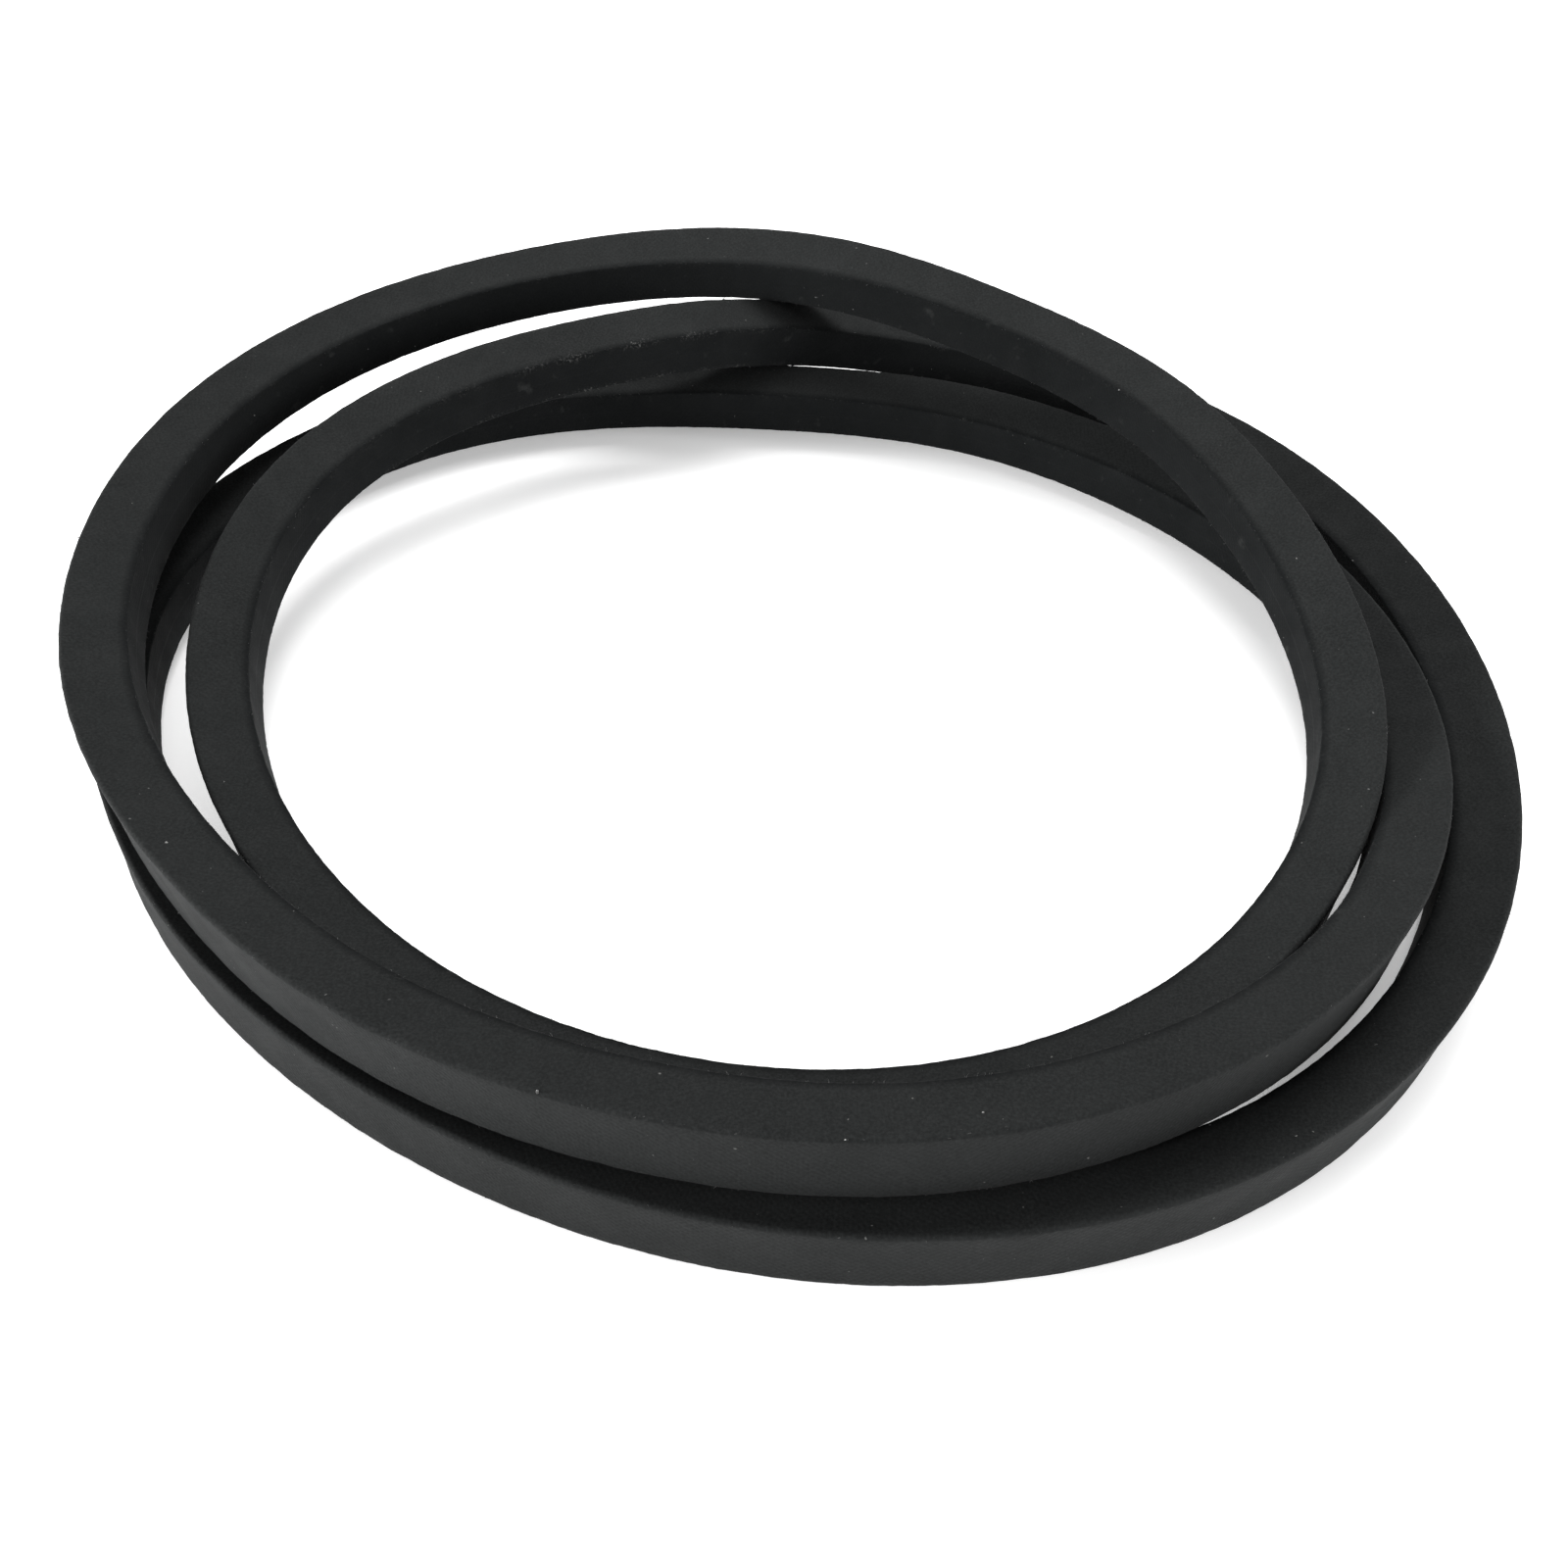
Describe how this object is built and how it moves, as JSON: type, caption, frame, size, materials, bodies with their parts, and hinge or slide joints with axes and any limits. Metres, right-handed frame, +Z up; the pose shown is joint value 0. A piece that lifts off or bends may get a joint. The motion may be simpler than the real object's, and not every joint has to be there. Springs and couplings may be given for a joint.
{
  "type": "v belt",
  "caption": "Endless wrapped V-belt of wedge section in black rubberised fabric, lying in a loose coil of three overlapping laps, with its layered rubber and cord core.",
  "frame": {"origin": "centre of the coil's box in plan, at the height of the surface it lies on", "axes": "+X across the coil's longest width, +Y towards the side where the laps cross, +Z up from the table"},
  "size_m": [0.2154, 0.1954, 0.0355],
  "materials": {
    "outer_jacket_ply": "matte rubberised weave",
    "inner_jacket_ply": "matte rubberised weave",
    "tension_rubber": "matte",
    "upper_cord_gum": "matte",
    "tensile_cord_lap_1": "treated polyester cord",
    "tensile_cord_lap_2": "treated polyester cord",
    "tensile_cord_lap_3": "treated polyester cord",
    "tensile_cord_lap_4": "treated polyester cord",
    "tensile_cord_lap_5": "treated polyester cord",
    "tensile_cord_lap_6": "treated polyester cord",
    "tensile_cord_lap_7": "treated polyester cord",
    "lower_cord_gum": "matte",
    "compression_rubber": "matte"
  },
  "bodies": {
    "root": {"outer_jacket_ply": "outer_jacket_ply", "inner_jacket_ply": "inner_jacket_ply", "tension_rubber": "tension_rubber", "upper_cord_gum": "upper_cord_gum", "tensile_cord_lap_1": "tensile_cord_lap_1", "tensile_cord_lap_2": "tensile_cord_lap_2", "tensile_cord_lap_3": "tensile_cord_lap_3", "tensile_cord_lap_4": "tensile_cord_lap_4", "tensile_cord_lap_5": "tensile_cord_lap_5", "tensile_cord_lap_6": "tensile_cord_lap_6", "tensile_cord_lap_7": "tensile_cord_lap_7", "lower_cord_gum": "lower_cord_gum", "compression_rubber": "compression_rubber"}
  },
  "joints": []
}
